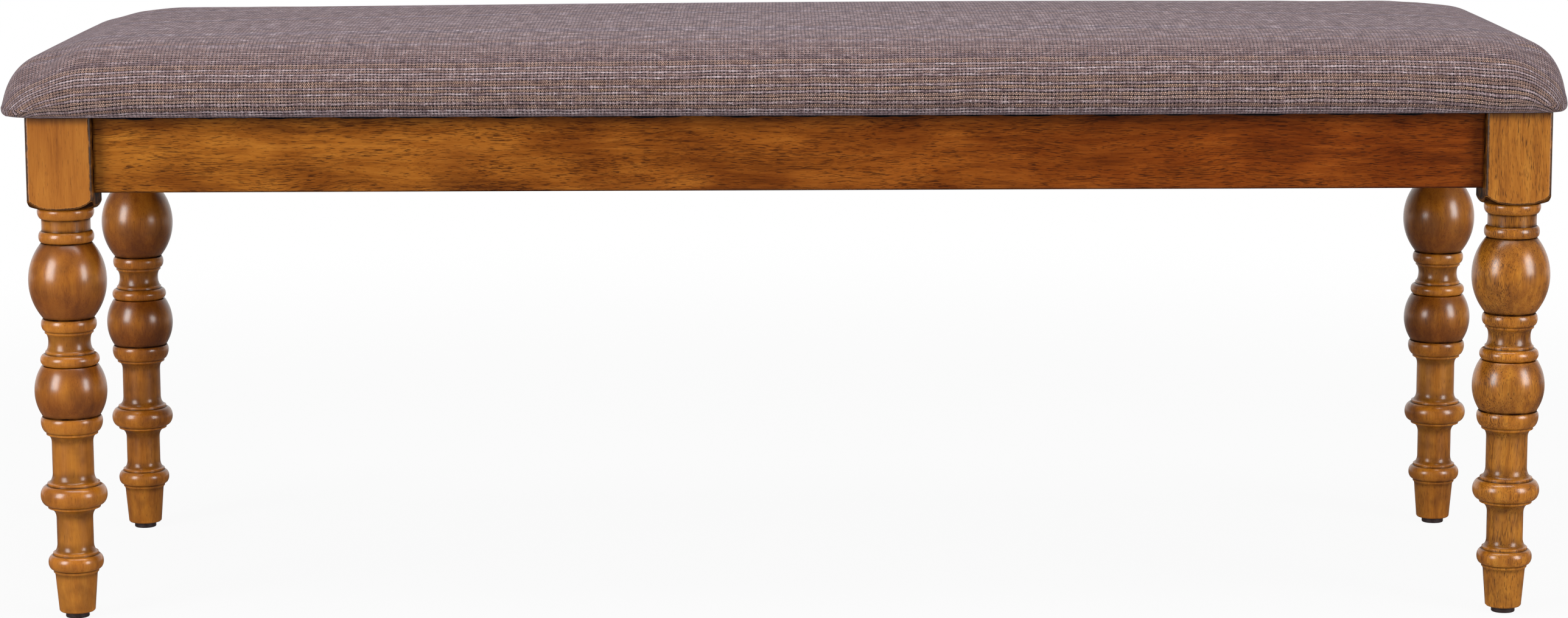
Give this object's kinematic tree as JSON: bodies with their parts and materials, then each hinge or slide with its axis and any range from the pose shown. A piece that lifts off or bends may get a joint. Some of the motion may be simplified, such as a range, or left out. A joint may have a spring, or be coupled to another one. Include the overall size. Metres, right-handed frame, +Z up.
{
  "type": "dining bench",
  "caption": "Upholstered dining bench: a long padded seat on a wooden frame with turned, beaded legs and glides under the feet.",
  "frame": {"origin": "on the floor, under the middle of the bench", "axes": "+X along the length of the bench to the right as seen from the front, the front faces -Y, +Z up"},
  "size_m": [1.274, 0.453, 0.4869],
  "materials": {
    "leg_wood": "satin lacquer over a honey brown stain, darker glaze in the grooves",
    "rail_wood": "satin lacquer over a honey brown stain",
    "plain_wood": "plain sanded softwood",
    "dowel_wood": "plain beech",
    "board_wood": "plain plywood",
    "zinc_steel": "bright zinc plate",
    "glide_plastic": "dark brown moulded plastic",
    "foam": "open cell foam",
    "cover_fabric": "coarse woven cloth, mauve grey with fine tan stripes",
    "dust_cover_fabric": "thin black non-woven cloth"
  },
  "bodies": {
    "root": {"leg_front_left": "leg_wood", "corner_block_front_left": "plain_wood", "glide_front_left": "glide_plastic", "leg_front_right": "leg_wood", "corner_block_front_right": "plain_wood", "glide_front_right": "glide_plastic", "leg_back_left": "leg_wood", "corner_block_back_left": "plain_wood", "glide_back_left": "glide_plastic", "leg_back_right": "leg_wood", "corner_block_back_right": "plain_wood", "glide_back_right": "glide_plastic", "front_rail": "rail_wood", "back_rail": "rail_wood", "left_end_rail": "rail_wood", "right_end_rail": "rail_wood", "centre_rail": "plain_wood", "centre_rail_dowels": "dowel_wood", "hanger_bolts": "zinc_steel", "flat_washers": "zinc_steel", "lock_washers": "zinc_steel", "hex_nuts": "zinc_steel", "corner_block_screws": "zinc_steel", "seat_screws": "zinc_steel", "glide_nails": "zinc_steel", "seat_board": "board_wood", "foam_pad": "foam", "seat_cover": "cover_fabric", "dust_cover": "dust_cover_fabric"}
  },
  "joints": []
}
